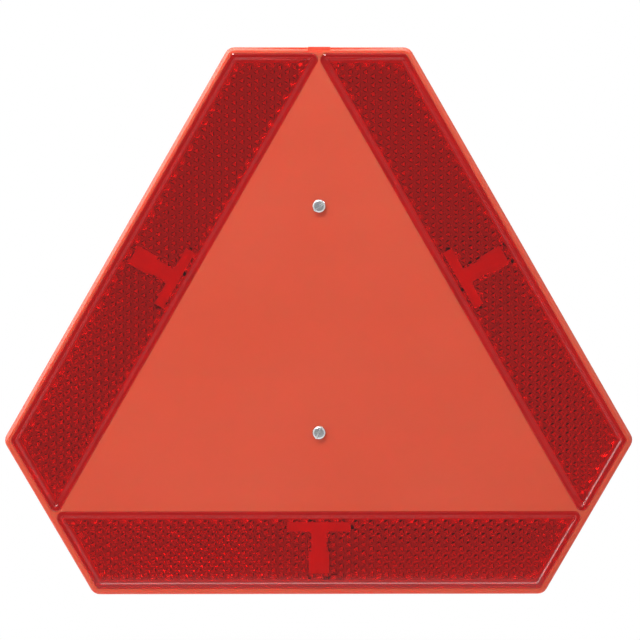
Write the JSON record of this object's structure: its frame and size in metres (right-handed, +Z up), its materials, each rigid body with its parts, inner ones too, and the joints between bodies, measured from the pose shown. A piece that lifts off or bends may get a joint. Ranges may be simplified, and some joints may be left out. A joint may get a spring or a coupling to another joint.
{
  "type": "slow vehicle warning sign",
  "caption": "Triangular rear warning sign with cut corners: a red-orange moulded carrier, red prismatic reflector lenses along the long edges, and slotted fixing screws.",
  "frame": {"origin": "centre of the sign (where the three long edges are equally far away) in the plane of the rear rim", "axes": "+X to the right seen from the front, +Y to the rear, away from the face, +Z up"},
  "size_m": [0.44, 0.028, 0.383],
  "materials": {
    "carrier": "fluorescent red-orange moulded plastic, satin face and soft gloss",
    "lens": "clear red plastic, polished, with cube corner prisms on its back",
    "zinc_steel": "bright zinc plate"
  },
  "bodies": {
    "root": {"carrier": "carrier", "lens_left": "lens", "lens_right": "lens", "lens_bottom": "lens", "upper_screw": "zinc_steel", "lower_screw": "zinc_steel", "upper_washer": "zinc_steel", "lower_washer": "zinc_steel", "upper_nut": "zinc_steel", "lower_nut": "zinc_steel"}
  },
  "joints": []
}
